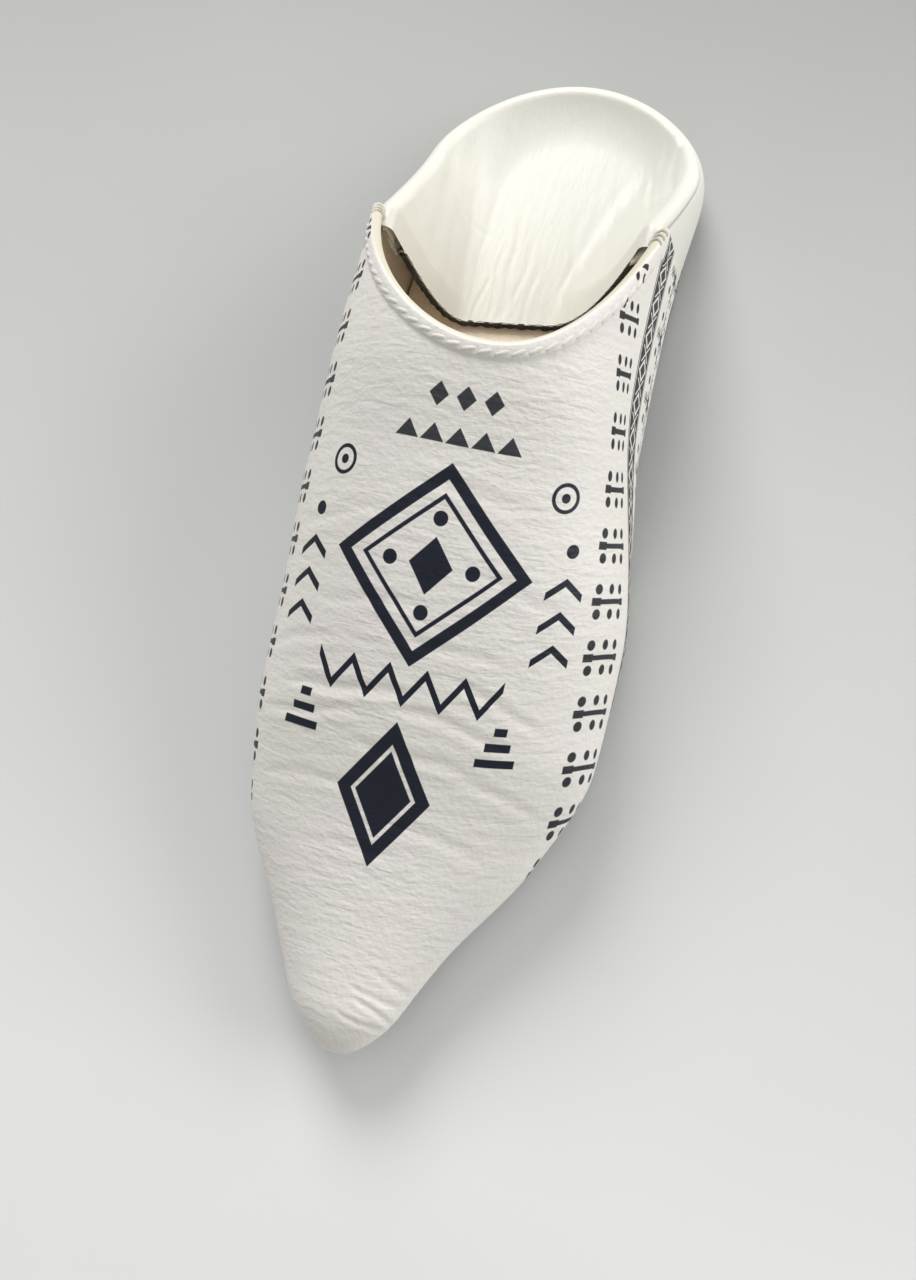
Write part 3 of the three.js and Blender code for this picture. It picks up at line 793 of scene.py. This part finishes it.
def flat_piece(name, profile, thickness, bottom_height, outset, setback, material):
    back = setback * (1 - clamp(foot_place * LENGTH / SPRING_LENGTH)) ** 2
    reach = np.broadcast_to(outset, foot_place.shape)
    rings = []
    for inset, height in profile:
        flat = foot_line + foot_outward * (reach - inset)[:, None]
        z = lift(foot_place) + bottom_height + thickness * height
        rings.append(np.stack([flat[:, 0], flat[:, 1] + back, z], -1))
    rings = np.array(rings)
    top = across_ring(rings[0])
    bottom = across_ring(rings[-1])
    top_start = rings.size // 3
    bottom_start = top_start + top.size // 3
    points = np.concatenate([rings.reshape(-1, 3), top.reshape(-1, 3), bottom.reshape(-1, 3)])
    faces = [
        grid_faces(len(rings), 2 * SOLE_STEPS, closed=True),
        grid_faces(SOLE_STEPS + 1, FLAT_COLUMNS, top_start),
        grid_faces(SOLE_STEPS + 1, FLAT_COLUMNS, bottom_start, flip=True),
    ]
    return make_mesh(name, points, np.concatenate(faces), material)

def set_shift():
    edge_line = foot_line + foot_outward * SOLE_MARGIN
    own_middle = (edge_line.min(0) + edge_line.max(0)) / 2
    low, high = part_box("outsole")
    shift[0] = (low.x + high.x) / 2 / MM - own_middle[0]
    shift[1] = (low.y + high.y) / 2 / MM - own_middle[1]

def make_sole():
    piece = flat_piece(
        "sole", SOLE_PROFILE, SOLE_THICKNESS, 0, SOLE_MARGIN, 0, sole_material
    )
    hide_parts("outsole")

def make_footbed():
    gap = np.where(foot_place < BED_NARROWS, BED_GAP_FRONT, BED_GAP_BACK)
    piece = flat_piece(
        "footbed", BED_PROFILE, INSOLE_THICKNESS, SOLE_THICKNESS + GAP, -(WALL + gap), BED_SETBACK,
        footbed_material,
    )
    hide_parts("insole")

set_shift()
make_sole()
make_footbed()

# The front: outside, turned edge and lining

FRONT_ROWS = 270
FRONT_COLUMNS = (40, 124)
LINING_ROWS = 120
LINING_COLUMNS = (16, 60)
LINING_INSET = 1.0
ROW_POWER = 1.25
BAND_ROWS = 15
RAMP_PARTS = (0.2, 0.4, 0.6, 0.8)
BAND_PUFF = 0.25
STEP_FADE = 0.067
BAND_CREASES = 0.2
TOE_SWELL = 0.9
TOE_SWELL_LENGTH = 7
RIM_STEPS = 10
RIM_TUCK = 1.5
LINING_SEAM_PLACE = 0.722
LINING_SEAM_AROUND = (-0.985, -0.7)
LINING_SEAM_POINTS = 24
LINING_SEAM_RADIUS = 0.55
LINING_SEAM_DEPTH = 0.1

def front_columns(side_columns, top_columns):
    return np.concatenate([
        np.linspace(-1, -EAR_AROUND[-1], side_columns, endpoint=False),
        np.linspace(-EAR_AROUND[-1], EAR_AROUND[1], top_columns),
        np.linspace(EAR_AROUND[1], 1, side_columns + 1)[1:],
    ])

def levelled(normals):
    normals[:, 0, 2] = 0
    normals[:, -1, 2] = 0
    normals[0] = (0, -1, 0)
    return unit(normals)

# Places of the front's rows, and how far each row has risen onto the turned band
def front_rows(end, band_start, rim_radius):
    rows = []
    in_band = []
    for i in range(FRONT_ROWS + 1):
        rows.append((end - (band_start + BAND_RAMP) / LENGTH) * (i / FRONT_ROWS) ** ROW_POWER)
        in_band.append(0.0)
    for part in RAMP_PARTS:
        rows.append(end - (band_start + BAND_RAMP * (1 - part)) / LENGTH)
        in_band.append(part**2 * (3 - 2 * part))
    for part in np.linspace(0, 1, BAND_ROWS):
        rows.append(mix(end - band_start / LENGTH, end - rim_radius / LENGTH, part))
        in_band.append(1.0)
    return np.array(rows), np.array(in_band)[:, None]

# The round edge of the throat, from the outside over to the lining
def rim_points(surface, normals, step, rim_radius):
    forward = unit(surface[-1] - surface[-3])
    centre = surface[-1] + normals[-1] * (step - rim_radius)[:, None]
    rim = []
    for turn in np.linspace(0, np.pi, RIM_STEPS + 1)[1:]:
        arc_way = normals[-1] * math.cos(turn) + forward * math.sin(turn)
        rim.append(centre + arc_way * rim_radius[:, None])
    rim.append(rim[-1] - forward * RIM_TUCK)
    return np.array(rim)

# Values of the grid, carried on over the rows of the rim
def with_rim(values, grow):
    extra = [values[-1] + grow * (i + 1) for i in range(RIM_STEPS + 1)]
    return np.concatenate([values, np.array(extra)])

def print_row(table, around, run):
    return np.where(around < 0, curve(PRINT_RUNS, table[-1], run), curve(PRINT_RUNS, table[1], run))

# The leather's chart and the side print's chart, for the front's material
def front_charts(around, run, across, in_band):
    distance = np.abs(across)
    level_run = run - by_side(around, SHEAR) * curve(SLIDE_ARCS, SLIDES, distance)
    print_run = (level_run - by_side(around, PRINT_START)) * BAR_PITCH / by_side(around, PRINT_PITCH)
    bars_down = (distance - print_row(BARS_INNER, around, run)) / print_row(BARS_LENGTH, around, run)
    bars_down = bars_down * 2 * BAR_HALF - BAR_HALF
    bands_down = distance - print_row(BANDS_START, around, run)
    edge_flag = with_rim(in_band * np.ones_like(run), 0.35)
    chart = np.stack([with_rim(level_run, 0.3), with_rim(across, 0.0), edge_flag], -1)
    side_rows = [with_rim(print_run, 0.3), with_rim(bars_down, 0.0), with_rim(bands_down, 0.0)]
    return chart, np.stack(side_rows, -1)

def make_vamp():
    around = front_columns(*FRONT_COLUMNS)
    end = front_end(around)
    band_start = band_length(around)
    step = BAND_STEP * clamp(1 - (np.abs(around) - by_side(around, EAR_AROUND)) / STEP_FADE)
    rim_radius = (WALL + step) / 2
    place, in_band = front_rows(end, band_start, rim_radius)
    surface = last_point(place, around[None, :])
    normals = levelled(grid_normals(surface))
    across = ridge_arc(place, np.broadcast_to(around, place.shape))
    run = place * LENGTH
    fade = mix(1, BAND_CREASES, in_band)
    in_puff = clamp((place - (end - band_start / LENGTH)) * LENGTH / band_start)
    puff = BAND_PUFF * np.sin(np.pi * in_puff)
    relief = front_relief(run, across) * fade + in_band * (step + puff * (step / BAND_STEP))
    relief += TOE_SWELL * np.exp(-run / TOE_SWELL_LENGTH)
    outer = surface + normals * relief[..., None]
    grid = np.concatenate([outer, rim_points(surface, normals, step, rim_radius)])
    chart, print_chart = front_charts(around, run, across, in_band)
    vamp = make_mesh(
        "vamp", grid, grid_faces(*grid.shape[:2]), vamp_material,
        (("chart", chart), ("print", print_chart)),
    )
    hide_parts("upper")

def make_lining():
    around = front_columns(*LINING_COLUMNS)
    end = front_end(around) - LINING_INSET / LENGTH
    place = end[None, :] * np.linspace(0, 1, LINING_ROWS)[:, None] ** ROW_POWER
    surface = last_point(place, around[None, :])
    grid = surface - levelled(grid_normals(surface)) * WALL
    faces = grid_faces(*grid.shape[:2], flip=True)
    lining = make_mesh("vamp_lining", grid, faces, lining_material)
    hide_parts("upper")

# The lining's seam on the lateral side
def make_lining_seam():
    around = np.linspace(*LINING_SEAM_AROUND, LINING_SEAM_POINTS)
    points, normals = surface_frame(np.full(LINING_SEAM_POINTS, LINING_SEAM_PLACE), around)
    path = points - normals * (WALL + LINING_SEAM_DEPTH)
    seam = (path, LINING_SEAM_RADIUS, normals[0], 0.5)
    tubes("lining_seam", [seam], lining_material)

make_vamp()
make_lining()
make_lining_seam()

# The back: side walls and heel, the fold, and the flap on the footbed

BACK_ROWS = 280
WALL_COLUMNS = 30
FOLD_COLUMNS = 16
FLAP_COLUMNS = 70
CREASE_START = 4
CREASE_RAMP = 8
FLAP_STRIP = [
    (-0.5, 0.98), (-0.1, 1.02), (0.3, 0.85), (0.55, 0.4), (0.6, -0.1), (0.45, -0.6), (0.1, -0.9),
    (-0.8, -0.98),
]
# Height, rate and start of the waves in the flap's edge
SCALLOPS = [(0.16, 1.9, 0), (0.1, 0.83, 1)]

def seam_profile(side, part):
    ear = EAR_PLACE[side]
    point = last_point(ear, side * mix(1, EAR_AROUND[side], part))
    return abs(point[0]) - half_width(ear, side), point[2] - seat(ear)

# The wall from the sole up to the fold and round it, and the width over which the flap comes down
def wall_and_fold(turn, side):
    swing = (1 - np.abs(2 * turn - 1)) * np.pi / 2
    ear = by_side(side, EAR_PLACE)
    place = mix(ear - SEAM_LAP / LENGTH, 1, np.sin(swing))
    foot = np.stack([side * half_width(place, side), along(place), seat(place)], -1)
    fall = clamp((1 - place) / (1 - ear))
    medial = turn * turn * (3 - 2 * turn)
    ahead = np.concatenate([foot[1:], foot[-1:]])
    behind = np.concatenate([foot[:1], foot[:-1]])
    outward = unit(np.stack([behind[:, 1] - ahead[:, 1], ahead[:, 0] - behind[:, 0], 0 * turn], -1))

    def section(part):
        return [mix(a, b, medial) for a, b in zip(seam_profile(-1, part), seam_profile(1, part))]

    def point_at(distance, up):
        point = foot + outward * distance[:, None]
        point[:, 2] = foot[:, 2] + up
        return point

    full_out, full_up = section(1)
    height = HEEL_RIM + (full_up - HEEL_RIM) * fall**RIM_POWER
    out = full_out * fall**RIM_POWER + RIM_FLARE * (1 - fall)
    drop = mix(FLAP_DROP_HEEL, by_side(side, FLAP_DROP_EAR), fall)
    top = height - FOLD_RADIUS - WALL / 2
    columns = []
    for part in np.linspace(0, 1, WALL_COLUMNS + 1):
        part_out, part_up = section(part)
        distance = part_out + (out - full_out) * part * part - SEAM_STEP - WALL / 2
        columns.append(point_at(distance, top * part_up / full_up))
    bed = FOOTBED + WALL / 2 - SOLE_THICKNESS - GAP
    steep = np.arctan(FLAP_POWER * (top + FOLD_RADIUS - bed) / drop)
    for part in np.linspace(0, 1, FOLD_COLUMNS + 1)[1:]:
        angle = (np.pi / 2 + steep) * part
        bend = distance - FOLD_RADIUS * (1 - np.cos(angle))
        columns.append(point_at(bend, top + FOLD_RADIUS * np.sin(angle)))
    return columns, drop

# The flap from the fold to its front edge, which falls onto the footbed
def flap_points(fold, drop, turn, side):
    start = fold[0]
    finish = fold[-1]
    edge_x = mix(start[0] + FLAP_START, finish[0] - FLAP_START, turn)
    back = np.abs(2 * turn - 1) ** by_side(side, FLAP_EDGE_POWER)
    edge_y = mix(along(mix(FLAP_EDGE[-1], FLAP_EDGE[1], turn)), mix(start[1], finish[1], turn), back)
    a = fold[:-1, :2]
    way = fold[1:, :2] - a
    pick = np.arange(len(turn))
    columns = []
    for part in np.linspace(0, 1, FLAP_COLUMNS + 1)[1:]:
        flat = mix(fold[:, :2], np.stack([edge_x, edge_y], -1), part)
        rel = flat[:, None, :] - a[None]
        share = clamp((rel * way[None]).sum(-1) / (way**2).sum(-1)[None])
        near = a[None] + share[..., None] * way[None]
        distance = np.linalg.norm(flat[:, None, :] - near, axis=-1)
        best = distance.argmin(1)
        best_share = share[pick, best]
        near_z = mix(fold[best, 2], fold[best + 1, 2], best_share)
        near_drop = mix(drop[best], drop[best + 1], best_share)
        bed_z = lift(flat[:, 1] / LENGTH + 0.5) + FOOTBED + WALL / 2
        left = 1 - clamp(distance[pick, best] / near_drop)
        z = bed_z + (near_z - bed_z) * left**FLAP_POWER
        columns.append(np.stack([flat[:, 0], flat[:, 1], z], -1))
    return columns

# The back's outside and inside. Returns the middle, normals and skin of the flap's front edge.
def make_back():
    turn = np.linspace(0, 1, BACK_ROWS + 1)
    side = np.where(turn < 0.5, -1, 1)
    columns, drop = wall_and_fold(turn, side)
    columns += flap_points(columns[-1], drop, turn, side)
    middle = np.stack(columns, 1)
    normals = grid_normals(middle)
    normals[:, 0, 2] = 0
    normals = unit(normals)
    on_flap = clamp((np.arange(len(columns)) - WALL_COLUMNS - CREASE_START) / CREASE_RAMP)[None, :]
    relief = flap_relief(middle[..., 0], middle[..., 1]) * on_flap
    skin = middle + normals * (WALL / 2 + relief)[..., None]
    back = make_mesh("back", skin, grid_faces(*skin.shape[:2]), back_material)
    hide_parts("upper")
    under = (middle - normals * WALL / 2)[::3, ::2]
    under_faces = grid_faces(*under.shape[:2], flip=True)
    back_inside = make_mesh("back_inside", under, under_faces, lining_material)
    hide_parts("upper")
    return middle[:, -1], normals[:, -1], skin[:, -1]

# The flap's dark, slightly scalloped front edge
def make_flap_edge(middle, normals):
    forward = unit(np.cross(normals, unit(np.gradient(middle, axis=0))))
    if forward[len(forward) // 2, 1] > 0:
        forward = -forward
    run = run_length(middle[None], 1)[0]
    scallop = sum(height * np.sin(run * rate + start) for height, rate, start in SCALLOPS)
    strip = []
    for out, up in FLAP_STRIP:
        wobble = scallop * (1 if out > 0 else 0.5)
        strip.append(middle + forward * (out + wobble)[:, None] + normals * up)
    strip = np.stack(strip, 1)
    make_mesh("flap_edge", strip, grid_faces(*strip.shape[:2]), edge_material)

edge_middle, edge_normals, edge_skin = make_back()
make_flap_edge(edge_middle, edge_normals)

# Stitches of the throat's band, with dark marks painted as the shade in each needle hole

STITCH_PITCH = 3.7
STITCH_LENGTH = 4.1
STITCH_INSET = 2.85
STITCH_RADIUS = 0.55
STITCH_SLANT = 1.3
STITCH_START = 3
STITCH_RISE = (0.35, 0.3)
BAND_ENDS = 0.012
HOLE_PLACE = 0.44
HOLE_RADIUS = 0.3
HOLE_HALF = 0.6
HOLE_SIDE = 0.6
HOLE_SLANT = 0.45

def make_throat_stitches():
    around = np.linspace(-EAR_AROUND[-1] + BAND_ENDS, EAR_AROUND[1] - BAND_ENDS, 600)
    inset = band_length(around) * (STITCH_INSET / BAND_WIDTH)
    line, normals = surface_frame(front_end(around) - inset / LENGTH, around)
    run = run_length(line[None], 1)[0]
    ways = unit(np.gradient(line, axis=0))

    def at(values, where):
        return np.stack([np.interp(where, run, values[:, k]) for k in range(3)], -1)

    samples = np.linspace(-0.5, 0.5, 9)
    rise = STITCH_RISE[0] + STITCH_RISE[1] * np.cos(samples * np.pi)
    stitches = []
    hole_shades = []
    for k in range(int((run[-1] - 2 * STITCH_START) / STITCH_PITCH) + 1):
        middle = STITCH_START + k * STITCH_PITCH
        where = middle + samples * STITCH_LENGTH
        normal = at(normals, where)
        sideways = unit(np.cross(normal, at(ways, where)))
        path = at(line, where) + sideways * (samples * STITCH_SLANT)[:, None] + normal * rise[:, None]
        stitches.append((path, STITCH_RADIUS, unit(normal.mean(0)), 0.75))
        hole_normal = at(normals, middle)
        hole_way = at(ways, middle)
        hole_side = unit(np.cross(hole_normal, hole_way))
        # painted shade: a dark tube laid just over the surface where the needle hole would be
        hole = at(line, middle + STITCH_LENGTH * HOLE_PLACE) - hole_side * HOLE_SIDE + hole_normal * 0.1
        hole_run = np.linspace(-HOLE_HALF, HOLE_HALF, 5)[:, None] * (hole_way - hole_side * HOLE_SLANT)
        hole_shades.append((hole + hole_run, HOLE_RADIUS, hole_normal, 0.6))
    tubes("throat_stitches", stitches, thread_material, sides=10)
    tubes("painted_stitch_hole_shade", hole_shades, hole_shade_material, sides=6)

# Thread tacks at the ears: loops round the turned edge, and knots from the lining to the flap

LOOPS = 3
LOOP_START = 0.01
LOOP_PITCH = 0.011
LOOP_RADIUS = 0.42
LOOP_LIFT = 0.16
KNOTS = 4
KNOT_RADIUS = 0.5
KNOT_START = np.array([0, 0.5, 0])
KNOT_STEP = np.array([0, -0.75, -0.2])
KNOT_INSET = 1.2

def ear_loop(side, k):
    around = side * (EAR_AROUND[side] - LOOP_START - LOOP_PITCH * k)
    end = front_end(around)
    radius = (WALL + BAND_STEP) / 2
    point, normal = surface_frame(end - radius / LENGTH, around)
    ahead = unit(last_point(end, around) - last_point(end - 0.004, around))
    hub = point + normal * (BAND_STEP - radius)
    angles = np.linspace(-0.25, np.pi + 0.35, 12)[:, None]
    path = hub + (normal * np.cos(angles) + ahead * np.sin(angles)) * (radius + LOOP_LIFT)
    return path, LOOP_RADIUS, np.cross(normal, ahead), 1.0

def ear_knots(side, flap_corner):
    around = side * (EAR_AROUND[side] - BAND_ENDS)
    point, normal = surface_frame(front_end(around) - KNOT_INSET / LENGTH, around)
    inner = point - normal * (WALL - 0.3)
    part = np.linspace(0, 1, 7)[:, None]
    knots = []
    for k in range(KNOTS):
        slide = KNOT_START + KNOT_STEP * k
        path = mix(inner + slide, flap_corner + slide * 0.6, part)
        knots.append((path, KNOT_RADIUS, np.array([0, 0, 1.0]), 0.9))
    return knots

def make_ear_tacks(flap_edge):
    loops = [ear_loop(side, k) for side in (-1, 1) for k in range(LOOPS)]
    tubes("ear_tacks", loops, tack_material)
    knots = ear_knots(-1, flap_edge[0]) + ear_knots(1, flap_edge[-1])
    tubes("inner_tacks", knots, knot_material)

make_throat_stitches()
make_ear_tacks(edge_skin)

# Overcast stitches between the sole and the upper, each through five points from the sole upwards

OVERCAST_PITCH = 3.1
OVERCAST_RADIUS = 0.36
OVERCAST_ALONG = np.linspace(-0.7, 0.9, 5)
OVERCAST_UP = np.array([-0.9, -0.25, 0.35, 1.2, 2.3])
OVERCAST_OUT = np.array([0.55, 0.8, 0.62, 0.75, 0.45])
ON_UPPER = np.array([0, 0, 0, 1, 1])
REACH_FRONT = 0.15
REACH_BACK = -0.5
TOE_PULL = 0.4
TOE_PULL_LENGTH = 10

def make_sole_stitches():
    points = np.concatenate([foot_line, foot_line[:1]])
    ways = np.concatenate([foot_outward, foot_outward[:1]])
    places = np.concatenate([foot_place, foot_place[:1]])
    run = run_length(points[None], 1)[0]
    total = int(run[-1] / OVERCAST_PITCH)
    stitches = []
    for k in range(total):
        spots = (k * run[-1] / total + OVERCAST_ALONG) % run[-1]
        xy = np.stack([np.interp(spots, run, points[:, i]) for i in range(2)], -1)
        out_way = unit(np.stack([np.interp(spots, run, ways[:, i]) for i in range(2)], -1))
        place = np.interp(spots, run, places)
        reach = np.where(place > EAR_PLACE[-1], REACH_BACK, REACH_FRONT)
        out = OVERCAST_OUT + ON_UPPER * reach - TOE_PULL * np.exp(-place * LENGTH / TOE_PULL_LENGTH)
        z = seat(place) + OVERCAST_UP
        path = np.concatenate([xy + out_way * out[:, None], z[:, None]], 1)
        normal = unit(np.append(out_way.mean(0), 0.2))
        stitches.append((path, OVERCAST_RADIUS, normal, 0.8))
    tubes("sole_stitches", stitches, black_thread, sides=6)

make_sole_stitches()

# Camera: the photo's place and roll, turned so that the slipper is in the middle

AZIMUTH = math.radians(1.54)
ELEVATION = math.radians(69.51)
ROLL = math.radians(9.27)
EXTRA_ROLL = math.radians(3.0)
FOCAL_PX = 960
PHOTO_MIDDLE = (458, 640)
TARGET_PX = (302.67, 683.04)
TARGET = np.array([0, 0, 25.0])
DISTANCE = 284.62
SLIPPER_PX = (292, 790)
LENS = 31.5

# A picture's right and up, turned about the way in which it looks
def rolled(right, up, angle):
    turned_right = math.cos(angle) * right + math.sin(angle) * up
    return turned_right, -math.sin(angle) * right + math.cos(angle) * up

def camera_frame():
    flat = math.cos(ELEVATION)
    away = np.array([math.sin(AZIMUTH) * flat, -math.cos(AZIMUTH) * flat, math.sin(ELEVATION)])
    level = unit(np.cross(-away, [0, 0, 1]))
    photo_right, photo_up = rolled(level, np.cross(level, -away), ROLL)

    def photo_ray(px):
        across = (px[0] - PHOTO_MIDDLE[0]) / FOCAL_PX
        down = (px[1] - PHOTO_MIDDLE[1]) / FOCAL_PX
        return across * photo_right - down * photo_up - away

    eye = TARGET - photo_ray(TARGET_PX) * DISTANCE
    look = unit(photo_ray(SLIPPER_PX))
    right = unit(photo_right - look * (photo_right @ look))
    right, up = rolled(right, np.cross(right, look), EXTRA_ROLL)
    return eye, right, up, -look

def make_camera():
    data = bpy.data.cameras.new("camera")
    data.sensor_width = 36
    data.lens = LENS
    data.clip_start = 0.01
    data.clip_end = 50
    camera = bpy.data.objects.new("camera", data)
    bpy.context.scene.collection.objects.link(camera)
    eye, *axes = camera_frame()
    turned = Matrix(axes).transposed().to_4x4()
    camera.matrix_world = Matrix.Translation(Vector((eye + shift) * MM)) @ turned
    bpy.context.scene.camera = camera

make_camera()

# Floor and light. The floor's colour is painted darker from the near end towards the end away from the
# camera, as painted shade for the light falling off.

FLOOR_HALF = 40
FLOOR_NEAR = (0.83, 0.835, 0.825)
FLOOR_FAR_SHADE = (0.22, 0.225, 0.21)
FLOOR_SHADE_FADE = (-160, 330)
WORLD_COLOUR = (0.985, 0.99, 0.97, 1)
WORLD_STRENGTH = 0.455
# Name, place, diameter and power
LIGHTS = [
    ("key", (-0.42, 0.92, 0.82), 0.65, 11.4),
    ("fill", (1.25, 0.4, 0.62), 1.1, 9),
    ("heel", (0.8, 0.95, 0.6), 0.6, 3),
]

def floor_with_painted_shade():
    material, tree, shader = principled("floor", 0.6, Specular_IOR_Level=0.2)
    place = object_place(tree)
    split = tree.nodes.new("ShaderNodeSeparateXYZ")
    tree.links.new(place, split.inputs[0])
    tone = noise(tree, place, 0.01, 2.0) * 0.08
    # painted shade: the floor's colour darkens with distance along y, standing in for the light's falloff
    far = spread(Value(tree, split.outputs[1]), *FLOOR_SHADE_FADE)
    tree.links.new(blend(tree, far + tone, FLOOR_NEAR, FLOOR_FAR_SHADE), shader.inputs["Base Color"])
    return material

def make_floor():
    mesh = bpy.data.meshes.new("floor")
    corners = [(-1, -1), (1, -1), (1, 1), (-1, 1)]
    mesh.from_pydata([(x * FLOOR_HALF, y * FLOOR_HALF, 0) for x, y in corners], [], [(0, 1, 2, 3)])
    mesh.materials.append(floor_with_painted_shade())
    floor = bpy.data.objects.new("floor", mesh)
    bpy.context.scene.collection.objects.link(floor)

def make_light(name, place, size, power):
    data = bpy.data.lights.new(name, "AREA")
    data.shape = "DISK"
    data.size = size
    data.energy = power
    light = bpy.data.objects.new(name, data)
    light.location = place
    light.rotation_euler = (-Vector(place)).to_track_quat("-Z", "Y").to_euler()
    bpy.context.scene.collection.objects.link(light)

def make_world():
    world = bpy.data.worlds.new("world")
    world.use_nodes = True
    background = world.node_tree.nodes["Background"]
    background.inputs["Color"].default_value = WORLD_COLOUR
    background.inputs["Strength"].default_value = WORLD_STRENGTH
    bpy.context.scene.world = world

make_floor()
for light in LIGHTS:
    make_light(*light)
make_world()
bpy.context.scene.view_settings.view_transform = "Standard"
